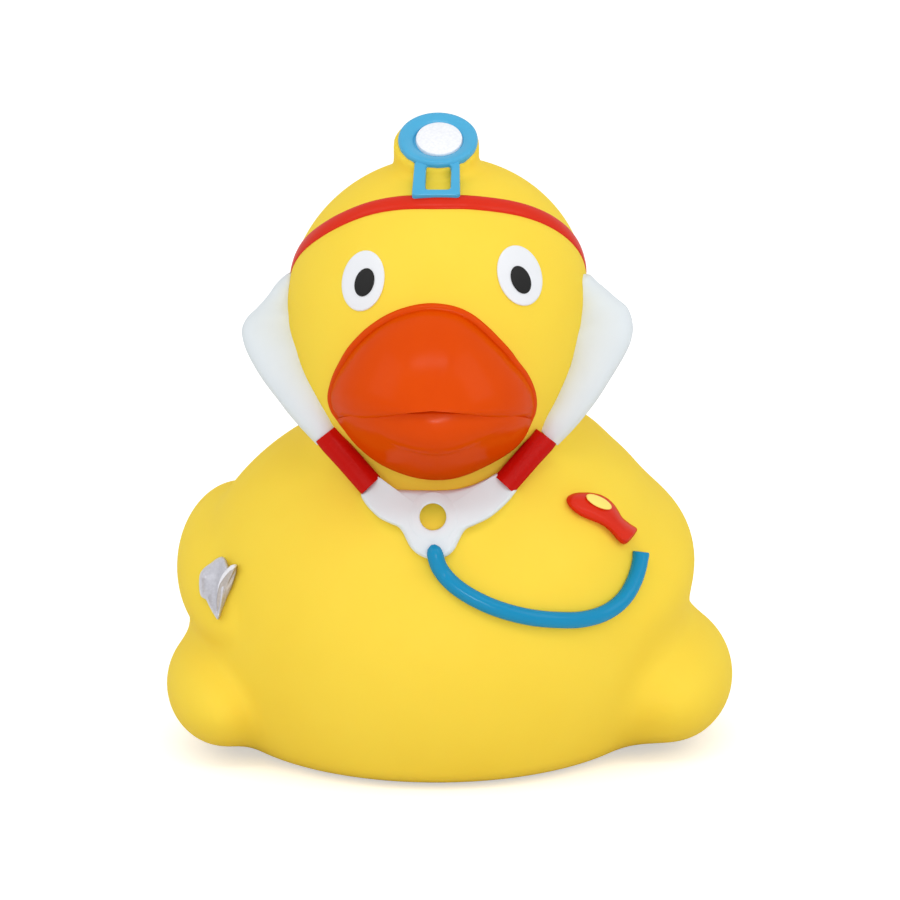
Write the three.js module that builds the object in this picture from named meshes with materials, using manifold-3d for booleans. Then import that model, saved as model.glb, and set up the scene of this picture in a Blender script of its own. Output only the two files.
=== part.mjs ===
// A rubber duck dressed as a doctor: one moulding of soft vinyl, spray-painted in fields of colour.
//
// Units are millimetres, +Z is up and the duck looks along -Y. Every form is set out in the sculpt's own
// frame, on the middle plane x = 0 with the ground at z = 0. The last lines move the finished duck so that
// the origin is on the ground, under the middle of its length and width.
//
// The yellow skin is a loft through rings that are cast onto soft-blended lobes. What stands on the skin,
// such as the bill, the headband and the stethoscope, is joined to it, so that the duck is one solid.
// The paint follows the form that each face came from.

import * as THREE from "three";
import { LoftGeometry } from "three/addons/geometries/LoftGeometry.js";
import { mergeVertices } from "three/addons/utils/BufferGeometryUtils.js";
import Module from "manifold-3d";

const wasm = await Module();
wasm.setup();

// Torso
const torsoWidth = 64;
const torsoLength = 60;
const torsoHeight = 58;
const torsoY = 3;
const torsoZ = 17.5;

// Breast, which fills out the front of the torso
const breastWidth = 47;
const breastLength = 40;
const breastHeight = 40;
const breastY = -8;
const breastZ = 17;
const breastBlend = 8;

// Wings, folded on the sides
const wingWidth = 15.5;
const wingLength = 40;
const wingHeight = 18.5;
const wingX = 24.9;
const wingY = 3;
const wingZ = 23;
const wingPitch = 14;
const wingBlend = 2.6;

// Flanks, the low swellings below the wings, the one on the +X side fuller
const flankWidth = 18;
const flankLength = 34;
const flankHeight = 17.2;
const flankX = 25.6;
const flankFullerBy = 2.9;
const flankY = -1;
const flankZ = 8.6;
const flankBlend = 6;

// Tail, turned up
const tailWidth = 23;
const tailLength = 24;
const tailHeight = 11;
const tailY = 28;
const tailZ = 28;
const tailPitch = 28;
const tailBlend = 10;

// Head
const headWidth = 37.8;
const headLength = 38.5;
const headHeight = 34;
const headY = -4;
const headZ = 58.5;

// Jaw, the lower face that the bill stands on
const jawWidth = 27;
const jawLength = 30;
const jawHeight = 28;
const jawY = -6.5;
const jawZ = 46.3;
const jawBlend = 9;
const neckBlend = 5;

// Base
const baseRound = 3;
const ventRadius = 1.6;
const ventDepth = 2.5;

// Bill, set out in its own frame on the mouth line, nose up
const billPitch = 13;
const billForward = 13.5;
const billBelow = 13.7;
const billWidth = 25;
const upperBillRise = 12.8;
const upperBillLength = 16.5;
const lowerBillDrop = 6.6;
const lowerBillLength = 15;
const foreheadForward = 9;
const chinForward = 5;
const cheekForward = 4;
const mouthGap = 0.6;
const mouthDepth = 0.9;
const billRimWidth = 0.8;
const billRimRelief = 0.9;

// Eyes, raised by the thickness of their print
const eyeSpacing = 18.9;
const eyeShift = 0.45;
const eyesAbove = 4;
const eyeWidth = 5.4;
const eyeHeight = 7.4;
const eyeTilt = 9;
const eyeRelief = 0.35;
const pupilWidth = 2.5;
const pupilHeight = 3.5;
const pupilDrop = 0.3;
const pupilRelief = 0.6;

// Headband, a flat strap round the skull, higher in front
const bandWidth = 1.9;
const bandRelief = 0.6;
const bandPitch = 36;
const bandForward = 13;
const bandAbove = 13.1;

// Head mirror, lying back on a boss, and the open stem that holds it to the band
const mirrorTilt = 52;
const mirrorForward = 5.5;
const mirrorAbove = 19.4;
const mirrorRadius = 4.9;
const mirrorThickness = 1.5;
const mirrorDiscRadius = 2.95;
const mirrorDiscHeight = 0.4;
const mirrorBossRadius = 5.4;
const mirrorBossFoot = 6.2;
const mirrorBossDepth = 8;
const stemWidth = 5.8;
const stemLength = 6.6;
const stemThickness = 2;
const stemBar = 1.3;
const stemFoot = 1;
const stemTilt = 42;
const stemForward = 10.9;
const stemAbove = 14.6;

// Stethoscope on the neck and breast
const tubeDepth = 4.6;
const sleeveRadius = 1.75;
const sleeveLift = 0.5;
const connectorRelief = 1.4;
const connectorHoleRadius = 1.7;
const hoseRadius = 1.08;
const hoseLift = 0.35;
const chestPieceRelief = 1.8;
const chestSpotWidth = 3.6;
const chestSpotHeight = 1.7;
const chestSpotTilt = -15;
const chestSpotRelief = 2.3;

// Silver instrument at the wing, two lobes, one standing before the other
const instrumentRelief = 1.2;
const instrumentFrontRelief = 1.8;

// Facets
const ringSides = 54;
const footRings = 4;
const trunkRings = 24;
const crownRings = 10;
const trunkLean = 22;
const tailGather = 0.2;
const tubeSides = 12;

const degrees = THREE.MathUtils.degToRad;
const right = new THREE.Vector3(1, 0, 0);
const forward = new THREE.Vector3(0, 1, 0);

// Lobes. Each is an ellipsoid, given by its full sizes, and melts into those before it over its blend.

function lobe(width, length, height, x, y, z, blend, pitch = 0) {
  return {
    radii: new THREE.Vector3(width / 2, length / 2, height / 2),
    at: new THREE.Vector3(x, y, z),
    blend,
    turn: new THREE.Quaternion().setFromAxisAngle(right, -degrees(pitch)),
  };
}

const lobes = [
  lobe(torsoWidth, torsoLength, torsoHeight, 0, torsoY, torsoZ, 0),
  lobe(breastWidth, breastLength, breastHeight, 0, breastY, breastZ, breastBlend),
  lobe(tailWidth, tailLength, tailHeight, 0, tailY, tailZ, tailBlend, tailPitch),
];
for (const side of [-1, 1]) {
  const flankOut = side < 0 ? -flankX : flankX + flankFullerBy;
  lobes.push(lobe(flankWidth, flankLength, flankHeight, flankOut, flankY, flankZ, flankBlend));
  lobes.push(lobe(wingWidth, wingLength, wingHeight, side * wingX, wingY, wingZ, wingBlend, wingPitch));
}
const headLobes = [
  lobe(headWidth, headLength, headHeight, 0, headY, headZ, 0),
  lobe(jawWidth, jawLength, jawHeight, 0, jawY, jawZ, jawBlend),
];

const local = new THREE.Vector3();
const scaled = new THREE.Vector3();

// Distance from a point to a lobe's surface, negative inside.
function lobeDistance(point, { radii, at, turn }) {
  local.subVectors(point, at).applyQuaternion(turn).divide(radii);
  const inUnits = local.length();
  if (inUnits === 0) return -Math.min(radii.x, radii.y, radii.z);
  return (inUnits * (inUnits - 1)) / scaled.copy(local).divide(radii).length();
}

function softUnion(a, b, blend) {
  if (blend === 0) return Math.min(a, b);
  const share = Math.max(blend - Math.abs(a - b), 0) / blend;
  return Math.min(a, b) - (share * share * blend) / 4;
}

function blended(point, group) {
  return group.reduce((d, each) => softUnion(d, lobeDistance(point, each), each.blend), Infinity);
}

// Distance to the skin: body and head meet at the neck, and the base is cut flat with a rounded edge.
function skinDistance(point) {
  const whole = softUnion(blended(point, lobes), blended(point, headLobes), neckBlend);
  return -softUnion(-whole, point.z, baseRound);
}

// The first point along a ray where the skin, moved out by offset, is crossed.
const rayReach = 90;
function cast(origin, direction, offset = 0) {
  const point = new THREE.Vector3();
  const depth = (t) => skinDistance(point.copy(origin).addScaledVector(direction, t)) - offset;
  const startsInside = depth(0) < 0;
  let near = 0;
  let far = 0;
  for (let d = depth(0); d < 0 === startsInside && far < rayReach; d = depth(far)) {
    near = far;
    far += Math.max(0.1, 0.7 * Math.abs(d));
  }
  for (let i = 0; i < 16; i++) {
    const middle = (near + far) / 2;
    if (depth(middle) < 0 === startsInside) near = middle;
    else far = middle;
  }
  return origin.clone().addScaledVector(direction, (near + far) / 2);
}

// The point of the skin that shows at x, z from the front.
function onFront(x, z, lift = 0) {
  const start = new THREE.Vector3(x, -rayReach / 2, z);
  const point = cast(start, forward);
  return lift === 0 ? point : point.addScaledVector(skinNormal(point), lift);
}

function skinNormal(point) {
  const h = 0.05;
  const slope = (dx, dy, dz) =>
    skinDistance(point.clone().add(new THREE.Vector3(dx, dy, dz))) -
    skinDistance(point.clone().sub(new THREE.Vector3(dx, dy, dz)));
  return new THREE.Vector3(slope(h, 0, 0), slope(0, h, 0), slope(0, 0, h)).normalize();
}

// One ring of the loft: rays from a point of the spine, in a plane that leans up at the back, or in a cone
// that rises towards the crown. The rays are closer together at the back, where the tail is.
function ring(origin, lean, rise, offset) {
  const back = new THREE.Vector3(0, Math.cos(lean), Math.sin(lean));
  return Array.from({ length: ringSides }, (_, i) => {
    const even = (i / ringSides) * 2 * Math.PI;
    const angle = even + tailGather * Math.cos(even);
    const direction = new THREE.Vector3()
      .addScaledVector(right, Math.cos(angle) * Math.cos(rise))
      .addScaledVector(back, Math.sin(angle) * Math.cos(rise))
      .setZ(Math.sin(angle) * Math.sin(lean) * Math.cos(rise) + Math.sin(rise));
    return cast(origin, direction, offset);
  });
}

// The skin as a closed loft, moved out by offset.
function skin(offset = 0) {
  const sections = [];
  const footOrigin = (z) => new THREE.Vector3(0, torsoY, z);
  for (let i = 0; i < footRings; i++) {
    const height = baseRound * (1 - Math.cos((i / footRings) * (Math.PI / 2)));
    sections.push(ring(footOrigin(i === 0 ? 1e-4 : height), 0, 0, offset));
  }
  if (offset === 0) sections[0].forEach((point) => point.setZ(0));
  for (let i = 0; i < trunkRings; i++) {
    const t = i / trunkRings;
    const origin = new THREE.Vector3(0, torsoY, baseRound).lerp(new THREE.Vector3(0, headY, headZ), t);
    const lean = degrees(trunkLean) * Math.sin(Math.PI * Math.min(1, 1.25 * t));
    sections.push(ring(origin, lean, 0, offset));
  }
  for (let i = 0; i < crownRings; i++) {
    const rise = (i / crownRings) * (Math.PI / 2);
    sections.push(ring(new THREE.Vector3(0, headY, headZ), 0, rise, offset));
  }
  const topRise = Math.PI / 2 - 0.04;
  sections.push(ring(new THREE.Vector3(0, headY, headZ), 0, topRise, offset));
  return new LoftGeometry(sections, { capStart: true, capEnd: true });
}

// Turns a closed geometry into a solid that can be joined and cut.
function solid(geometry) {
  const bare = new THREE.BufferGeometry().setAttribute("position", geometry.getAttribute("position"));
  if (geometry.index) bare.setIndex(geometry.index);
  const merged = mergeVertices(bare, 1e-4);
  return new wasm.Manifold(
    new wasm.Mesh({
      numProp: 3,
      vertProperties: merged.attributes.position.array,
      triVerts: new Uint32Array(merged.index.array),
    }),
  );
}

// A prism with a front outline of [x, z] points, long enough to pass through the front half of the duck.
function prism(outline) {
  const shape = new THREE.Shape(outline.map(([x, z]) => new THREE.Vector2(x, z)));
  const body = new THREE.ExtrudeGeometry(shape, { depth: rayReach, bevelEnabled: false });
  return solid(body.rotateX(Math.PI / 2));
}

// What stands proud of the skin inside a front outline.
const raisedSkins = new Map();
function raisedSkin(relief) {
  if (!raisedSkins.has(relief)) raisedSkins.set(relief, solid(skin(relief)));
  return raisedSkins.get(relief);
}

function emboss(outline, relief) {
  return raisedSkin(relief).intersect(prism(outline));
}

// A round or oval outline, turned by a tilt in degrees.
function oval(x, z, width, height, tilt = 0, sides = 24) {
  const turn = degrees(tilt);
  return Array.from({ length: sides }, (_, i) => {
    const angle = (i / sides) * 2 * Math.PI;
    const across = (width / 2) * Math.cos(angle);
    const along = (height / 2) * Math.sin(angle);
    return [x + across * Math.cos(turn) - along * Math.sin(turn), z + across * Math.sin(turn) + along * Math.cos(turn)];
  });
}

// Smooth outline through the points of a drawing.
function smooth(outline, sides) {
  const curve = new THREE.CatmullRomCurve3(outline.map(([x, z]) => new THREE.Vector3(x, 0, z)), true);
  return curve.getPoints(sides).slice(0, sides).map((point) => [point.x, point.z]);
}

// A bar that follows a path. Its section is an oval, across by deep, that may change along the path.
function bar(path, across, deep, stations, depthAxis) {
  const curve = new THREE.CatmullRomCurve3(path);
  const value = (list, t) => {
    const place = t * (list.length - 1);
    const first = Math.min(Math.floor(place), list.length - 2);
    return THREE.MathUtils.lerp(list[first], list[first + 1], place - first);
  };
  const sections = [];
  for (let i = 0; i <= stations; i++) {
    const t = i / stations;
    const at = curve.getPoint(t);
    const along = curve.getTangent(t);
    const depth = depthAxis(at).projectOnPlane(along).normalize();
    const side = new THREE.Vector3().crossVectors(depth, along);
    sections.push(
      Array.from({ length: tubeSides }, (_, j) => {
        const angle = (j / tubeSides) * 2 * Math.PI;
        return at
          .clone()
          .addScaledVector(side, value(across, t) * Math.cos(angle))
          .addScaledVector(depth, value(deep, t) * Math.sin(angle));
      }),
    );
  }
  return solid(new LoftGeometry(sections, { capStart: true, capEnd: true }));
}

// Drawings on the head and on the torso are in shares of the lobe's half sizes, so that they go with it.
const onHead = ([x, y, z]) =>
  new THREE.Vector3((x * headWidth) / 2, headY + (y * headLength) / 2, headZ + (z * headHeight) / 2);
const onTorso = ([x, z]) => [(x * torsoWidth) / 2, torsoZ + (z * torsoHeight) / 2];
const mirrored = (outline) => outline.map(([x, ...rest]) => [-x, ...rest]).reverse();

// Bill

const billOutline = [
  [0, 1],
  [0.19, 0.98],
  [0.46, 0.866],
  [0.7, 0.675],
  [0.885, 0.455],
  [0.99, 0.256],
  [1.02, 0.14],
  [0.95, 0],
];
const chinOutline = [
  [0.95, 0],
  [0.8, -0.41],
  [0.58, -0.71],
  [0.34, -0.89],
  [0, -1],
];

// A half outline, in shares, made whole and closed along the mouth line.
function wholeOutline(half, sides) {
  const points = half.map(([x, z]) => new THREE.Vector2(x, z));
  const fine = new THREE.SplineCurve(points).getPoints(sides);
  const other = fine.map((point) => new THREE.Vector2(-point.x, point.y)).reverse();
  const middle = half[0][0] === 0 ? other.slice(0, -1).concat(fine) : fine.concat(other.slice(1));
  return middle.reverse();
}

// One half of the bill: full size up to where the face ends, then rounding off to the tip.
function mandible(half, height, length, straight) {
  const outline = wholeOutline(half, 8);
  const back = -9;
  const sections = [];
  const stations = [back, cheekForward];
  for (let i = 1; i < 9; i++) {
    stations.push(cheekForward + (length - cheekForward) * Math.sin((i / 9) * (Math.PI / 2)));
  }
  stations.push(length * 0.997);
  for (const v of stations) {
    const wide = (1 - Math.max(0, (v - cheekForward) / (length - cheekForward)) ** 2.1) ** (1 / 2.1);
    const tall = (1 - Math.max(0, (v - straight) / (length - straight)) ** 1.8) ** (1 / 1.8);
    sections.push(
      outline.map((share) => new THREE.Vector3((share.x * wide * billWidth) / 2, -v, share.y * tall * height)),
    );
  }
  return new LoftGeometry(sections, { capStart: true, capEnd: true });
}

const billFrame = new THREE.Matrix4()
  .makeTranslation(0, headY - billForward, headZ - billBelow)
  .multiply(new THREE.Matrix4().makeRotationX(-degrees(billPitch)));

function inBillFrame(geometry) {
  return solid(new THREE.BufferGeometry().copy(geometry).applyMatrix4(billFrame));
}

const upperBill = inBillFrame(mandible(billOutline, upperBillRise, upperBillLength, foreheadForward));
const chin = mandible(chinOutline, lowerBillDrop, lowerBillLength, chinForward);
const lowerBill = inBillFrame(chin.translate(0, 0, mouthGap / 4));

// The mouth line is a groove that goes into the bill by its depth and leaves the core joined.
const inset = 1 - (2 * mouthDepth) / billWidth;
const coreHalf = mandible(billOutline, upperBillRise, upperBillLength - mouthDepth, foreheadForward);
const core = inBillFrame(new THREE.BufferGeometry().copy(coreHalf).scale(inset, 1, 1).translate(0, 0, -1));
const mouthPlate = new THREE.BoxGeometry(2 * billWidth, 2 * upperBillLength, mouthGap);
const mouth = inBillFrame(mouthPlate.translate(0, -upperBillLength, 0)).subtract(core);
const bill = upperBill.add(lowerBill).subtract(mouth);

// A rim of the skin's own form runs round the root of the bill.
const rimPlate = (half, height) =>
  wholeOutline(half, 9).map((share) => {
    const grown = 1 + (2 * billRimWidth) / billWidth;
    return new THREE.Vector3((share.x * billWidth * grown) / 2, 0, share.y * (height + billRimWidth));
  });
const rimSections = (half, height) =>
  [6, -rayReach / 2].map((y) => rimPlate(half, height).map((point) => point.clone().setY(y)));
const rimPrism = (half, height, lift) =>
  inBillFrame(new LoftGeometry(rimSections(half, height), { capStart: true, capEnd: true }).translate(0, 0, lift));
const billRim = raisedSkin(billRimRelief).intersect(
  rimPrism(billOutline, upperBillRise, 0).add(rimPrism(chinOutline, lowerBillDrop, mouthGap / 4)),
);

// Eyes

const eyes = [];
const pupils = [];
for (const side of [-1, 1]) {
  const x = eyeShift + (side * eyeSpacing) / 2;
  const z = headZ + eyesAbove;
  eyes.push(emboss(oval(x, z, eyeWidth, eyeHeight, side * eyeTilt), eyeRelief));
  pupils.push(emboss(oval(x, z - pupilDrop, pupilWidth, pupilHeight, side * eyeTilt), pupilRelief));
}

// Headband, cut from the raised skin by a tilted slab

const bandSlab = new THREE.BoxGeometry(rayReach, rayReach, bandWidth)
  .rotateX(-degrees(bandPitch))
  .translate(0, headY - bandForward, headZ + bandAbove);
const headband = raisedSkin(bandRelief).intersect(solid(bandSlab));

// Head mirror

const mirrorFrame = new THREE.Matrix4()
  .makeTranslation(0, headY - mirrorForward, headZ + mirrorAbove)
  .multiply(new THREE.Matrix4().makeRotationX(degrees(90 - mirrorTilt)));
const disc = (radius, height, from, footRadius = radius) =>
  solid(
    new THREE.CylinderGeometry(radius, footRadius, height, 32)
      .rotateX(Math.PI / 2)
      .translate(0, 0, from + height / 2)
      .applyMatrix4(mirrorFrame),
  );
const mirrorBoss = disc(mirrorBossRadius, mirrorBossDepth, -mirrorThickness - mirrorBossDepth, mirrorBossFoot);
const mirror = disc(mirrorRadius, mirrorThickness + 0.5, -mirrorThickness - 0.5);
const mirrorDisc = disc(mirrorDiscRadius, mirrorDiscHeight + 0.5, -0.5);

const stemShape = new THREE.Shape([
  new THREE.Vector2(-stemWidth / 2, -stemLength / 2),
  new THREE.Vector2(stemWidth / 2, -stemLength / 2),
  new THREE.Vector2(stemWidth / 2, stemLength / 2),
  new THREE.Vector2(-stemWidth / 2, stemLength / 2),
]);
const windowWidth = stemWidth - 2 * stemBar;
const windowLength = stemLength - stemBar - stemFoot;
const windowRise = (stemFoot - stemBar) / 2;
const stemWindow = new THREE.Shape([
  new THREE.Vector2(-windowWidth / 2, windowRise - windowLength / 2),
  new THREE.Vector2(windowWidth / 2, windowRise - windowLength / 2),
  new THREE.Vector2(windowWidth / 2, windowRise + windowLength / 2),
  new THREE.Vector2(-windowWidth / 2, windowRise + windowLength / 2),
]);
stemShape.holes.push(stemWindow);
const stem = solid(
  new THREE.ExtrudeGeometry(stemShape, { depth: stemThickness, bevelEnabled: false })
    .translate(0, 0, -stemThickness / 2)
    .rotateX(degrees(stemTilt))
    .translate(0, headY - stemForward, headZ + stemAbove),
);

// Stethoscope. A tube comes out of each ear, turns down past the cheek and runs into its sleeve.

const earPath = [
  [0.88, -0.05, 0.265],
  [0.926, -0.05, 0.118],
  [1.037, -0.06, -0.053],
  [1.095, -0.08, -0.206],
  [1.09, -0.105, -0.359],
  [1.037, -0.14, -0.5],
  [0.947, -0.2, -0.676],
  [0.862, -0.27, -0.824],
  [0.772, -0.36, -0.97],
  [0.68, -0.48, -1.05],
];
const earAcross = [1, 2.6, 3.3, 3.4, 3.3, 3.1, 2.8, 2.4, 1.95, 1.7];
const sleevePath = [
  [0.762, -0.971],
  [0.69, -1.035],
  [0.619, -1.1],
  [0.545, -1.168],
  [0.471, -1.235],
];
const tubes = [];
const sleeves = [];
for (const side of [-1, 1]) {
  const path = earPath.map(onHead).map((point) => point.setX(side * point.x));
  const deep = earAcross.map((across) => Math.min(across, tubeDepth / 2));
  tubes.push(bar(path, earAcross, deep, 16, () => forward.clone()));
  const run = sleevePath.map(([x, z]) => {
    const place = onHead([x, 0, z]);
    return onFront(side * place.x, place.z, sleeveLift);
  });
  sleeves.push(bar(run, [sleeveRadius, sleeveRadius], [sleeveRadius, sleeveRadius], 8, skinNormal));
}

const connectorHalf = [
  [0.05, 0.405],
  [0.094, 0.455],
  [0.125, 0.514],
  [0.156, 0.534],
  [0.237, 0.583],
  [0.3, 0.635],
  [0.237, 0.728],
  [0.153, 0.675],
  [0.081, 0.669],
];
const connectorOutline = connectorHalf.concat(mirrored(connectorHalf)).map(onTorso);
const hole = onTorso([0, 0.562]);
const connectorHole = prism(oval(hole[0], hole[1], 2 * connectorHoleRadius, 2 * connectorHoleRadius));
const connector = emboss(connectorOutline, connectorRelief).subtract(connectorHole);

const hosePath = [
  [-0.016, 0.441],
  [0, 0.379],
  [0.044, 0.317],
  [0.109, 0.272],
  [0.188, 0.224],
  [0.275, 0.19],
  [0.384, 0.155],
  [0.478, 0.138],
  [0.569, 0.131],
  [0.644, 0.148],
  [0.713, 0.183],
  [0.759, 0.228],
  [0.778, 0.276],
  [0.797, 0.338],
].map((place) => onFront(...onTorso(place), hoseLift));
const hose = bar(hosePath, [hoseRadius, hoseRadius], [hoseRadius, hoseRadius], 28, skinNormal);

const chestPieceOutline = [
  [0.494, 0.6],
  [0.522, 0.612],
  [0.575, 0.61],
  [0.631, 0.592],
  [0.678, 0.552],
  [0.713, 0.5],
  [0.781, 0.428],
  [0.719, 0.393],
  [0.65, 0.472],
  [0.588, 0.503],
  [0.512, 0.555],
];
const chestPiece = emboss(smooth(chestPieceOutline.map(onTorso), 33), chestPieceRelief);
const spot = onTorso([0.61, 0.568]);
const chestSpot = emboss(oval(...spot, chestSpotWidth, chestSpotHeight, chestSpotTilt), chestSpotRelief);

// Silver instrument

const instrumentBack = [
  [-0.922, 0.241],
  [-0.872, 0.3],
  [-0.831, 0.317],
  [-0.806, 0.29],
  [-0.82, 0.2],
  [-0.875, 0.11],
  [-0.897, 0.138],
  [-0.919, 0.155],
];
const instrumentFront = [
  [-0.775, 0.3],
  [-0.787, 0.259],
  [-0.809, 0.172],
  [-0.844, 0.072],
  [-0.875, 0.12],
  [-0.858, 0.2],
  [-0.825, 0.265],
];
const instrument = emboss(smooth(instrumentBack.map(onTorso), 24), instrumentRelief).add(
  emboss(smooth(instrumentFront.map(onTorso), 24), instrumentFrontRelief),
);

// Paints, and the forms that each is sprayed on

const paint = (color, roughness) => new THREE.MeshStandardMaterial({ color, roughness });
const fields = [
  { material: paint(0xf6d951, 0.45), forms: [solid(skin()), mirrorBoss] },
  { material: paint(0xe05008, 0.35), forms: [billRim, bill] },
  { material: paint(0xeeeeee, 0.4), forms: eyes },
  { material: paint(0x2a2a2a, 0.4), forms: pupils },
  { material: paint(0xd82a18, 0.35), forms: [headband, chestPiece] },
  { material: paint(0x3fa6cc, 0.35), forms: [stem, mirror, hose] },
  { material: paint(0xe6e6e6, 0.4), forms: [mirrorDisc, ...tubes, connector] },
  { material: paint(0xb81b15, 0.35), forms: sleeves },
  { material: paint(0xf7db47, 0.4), forms: [chestSpot] },
  { material: paint(0xbcb6b0, 0.3), forms: [instrument] },
];

// All forms become one solid. A form that comes later keeps its own paint where it shows.
let joined = null;
const paintOf = new Map();
fields.forEach(({ forms }, index) => {
  for (const form of forms) {
    const own = form.asOriginal();
    paintOf.set(own.originalID(), index);
    joined = joined ? joined.add(own) : own;
  }
});

// The base has the small blind hole that lets air out of the mould.
const vent = solid(
  new THREE.CylinderGeometry(ventRadius, ventRadius, 2 * ventDepth, 24)
    .rotateX(Math.PI / 2)
    .translate(0, torsoY, 0),
);
paintOf.set(vent.originalID(), 0);
const made = joined.subtract(vent).getMesh();

const geometry = new THREE.BufferGeometry()
  .setAttribute("position", new THREE.BufferAttribute(made.vertProperties, 3))
  .setIndex(new THREE.BufferAttribute(made.triVerts, 1));
for (let run = 0; run < made.runOriginalID.length; run++) {
  const first = made.runIndex[run];
  geometry.addGroup(first, made.runIndex[run + 1] - first, paintOf.get(made.runOriginalID[run]));
}
geometry.computeVertexNormals();
const box = new THREE.Box3().setFromBufferAttribute(geometry.getAttribute("position"));
const middle = box.getCenter(new THREE.Vector3());
geometry.translate(-middle.x, -middle.y, -box.min.z);

const duck = new THREE.Mesh(geometry, fields.map(({ material }) => material));
duck.name = "duck";
const model = new THREE.Group();
model.add(duck);

export default model;
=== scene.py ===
# %% [markdown]
# # A rubber duck dressed as a doctor
#
# The real duck is a hollow bath toy. Liquid vinyl is slushed round a hot metal mould, so the whole duck is
# one soft skin, and paint is then sprayed through masks onto the forms that stand out of it. In this lesson
# the yellow skin is one mesh, and each painted form is a mesh of its own that sits on it.
#
# All lengths are millimetres in the sculptor's frame: the duck looks along -Y, +Z is up and the ground is at
# z = 0. Each finished piece is moved into the frame of the CAD solid, in metres, by one function.

# %% Load the solid
import math

import bmesh
import bpy
import numpy as np
from mathutils import Matrix, Vector


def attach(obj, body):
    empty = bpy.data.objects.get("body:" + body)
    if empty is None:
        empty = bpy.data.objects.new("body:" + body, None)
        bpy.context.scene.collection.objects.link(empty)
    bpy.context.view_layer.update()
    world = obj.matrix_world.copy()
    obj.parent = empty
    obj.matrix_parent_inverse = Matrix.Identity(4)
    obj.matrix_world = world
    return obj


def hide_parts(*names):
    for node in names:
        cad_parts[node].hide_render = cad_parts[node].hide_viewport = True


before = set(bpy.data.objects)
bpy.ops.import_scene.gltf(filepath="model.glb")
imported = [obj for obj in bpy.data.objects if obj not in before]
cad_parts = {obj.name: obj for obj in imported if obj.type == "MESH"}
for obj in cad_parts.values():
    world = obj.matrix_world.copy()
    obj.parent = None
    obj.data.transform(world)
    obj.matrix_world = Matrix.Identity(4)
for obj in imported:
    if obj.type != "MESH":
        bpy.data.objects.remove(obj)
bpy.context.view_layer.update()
scene = bpy.context.scene

# %% [markdown]
# ## Camera
#
# The photograph looks at the duck from straight ahead and a little above. We see the front of its base as a
# shallow curve, so the lens is about ten degrees above the middle of the duck. The sides of the body hardly
# converge, which tells of a long lens some half a metre away.

# %% Camera
MOULD_ORIGIN = np.array([1.3305, 2.621, 0.0])
MM = 0.001


def to_row(points):
    return (np.asarray(points, float) - MOULD_ORIGIN) * MM


camera_distance = 450.0
camera_lift = math.radians(10)
camera_target = np.array([1.65, 0.0, 38.0])
camera_back = np.array([0.0, -math.cos(camera_lift), math.sin(camera_lift)])

camera = bpy.data.objects.new("camera", bpy.data.cameras.new("camera"))
camera.data.sensor_width = 36
camera.data.lens = 141.7
camera.location = to_row(camera_target + camera_distance * camera_back)
camera.rotation_euler = Vector(-camera_back).to_track_quat("-Z", "Y").to_euler()
camera.data.clip_start = 0.01
camera.data.clip_end = 50
scene.collection.objects.link(camera)
scene.camera = camera
print("camera at", [round(v, 3) for v in camera.location])

# %% [markdown]
# ## The sculpt as soft-blended lobes
#
# A sculptor builds a duck from balls of clay and smears them into each other. We do the same with
# ellipsoids: each has a distance function, and a soft minimum melts one into the next over a given width.
# The flat base is a soft cut by the ground, which leaves the rounded edge that a moulding has.

# %% Lobes
# Width, length, height, then the centre, the width of the blend, and the pitch and roll in degrees.
BODY_LOBES = [
    (63.7, 61.25, 56.4, 0, 3, 17.0, 0, 0, 0),
    (41, 41.1, 40, 0, -7.4, 17, 8, 0, 0),
    (23, 24, 11, 0, 28, 28, 10, 28, 0),
    (28.6, 34, 12, 5.85, 3, 26.4, 14, 0, 37.2),
    (16.5, 36.8, 14.9, -26.45, 0.7, 7.8, 2.1, 0, -13.7),
    (16.3, 40, 14.5, -25.35, 3, 22.9, 1.1, 14, 14),
    (19.1, 39.2, 17.1, 28.6, 4.3, 8.3, 4, 0, 5.6),
    (21.6, 40, 12.9, 21.65, 3, 23.8, 5, 14, 14),
]
HEAD_LOBES = [
    (37.55, 38.5, 35.4, 0.15, -4, 57.95, 0, 0, 15.6),
    (29.5, 30, 29, -0.5, -6.5, 47.3, 9, 0, 0),
]
NECK_BLEND = 5
BASE_ROUND = 2.84
HEAD = np.array([0, -4, 58.5])


def lobe_turn(lobe):
    pitch = Matrix.Rotation(math.radians(lobe[7]), 3, "X")
    roll = Matrix.Rotation(math.radians(-lobe[8]), 3, "Y")
    return roll @ pitch


def lobe_distance(points, lobe):
    half = np.array(lobe[:3]) / 2
    local = (points - np.array(lobe[3:6])) @ np.array(lobe_turn(lobe)) / half
    inside = np.linalg.norm(local, axis=-1) + 1e-9
    return inside * (inside - 1) / (np.linalg.norm(local / half, axis=-1) + 1e-9)


def soft_union(a, b, blend):
    if blend == 0:
        return np.minimum(a, b)
    share = np.maximum(blend - np.abs(a - b), 0) / blend
    return np.minimum(a, b) - share * share * blend / 4


def blended(points, lobes):
    distance = lobe_distance(points, lobes[0])
    for lobe in lobes[1:]:
        distance = soft_union(distance, lobe_distance(points, lobe), lobe[6])
    return distance


# The boss behind the head mirror is a short round post that leans with the mirror and flares into the skull.
mirror_place = Matrix.Translation((0.18, -9.5, 78.45)) @ Matrix.Rotation(math.radians(34), 4, "X")
BOSS_RADIUS, BOSS_TOP, BOSS_FOOT, BOSS_EDGE, BOSS_FLARE = 5.25, -0.55, -9, 0.5, 1.2
BOSS_ASIDE = -0.2


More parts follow.
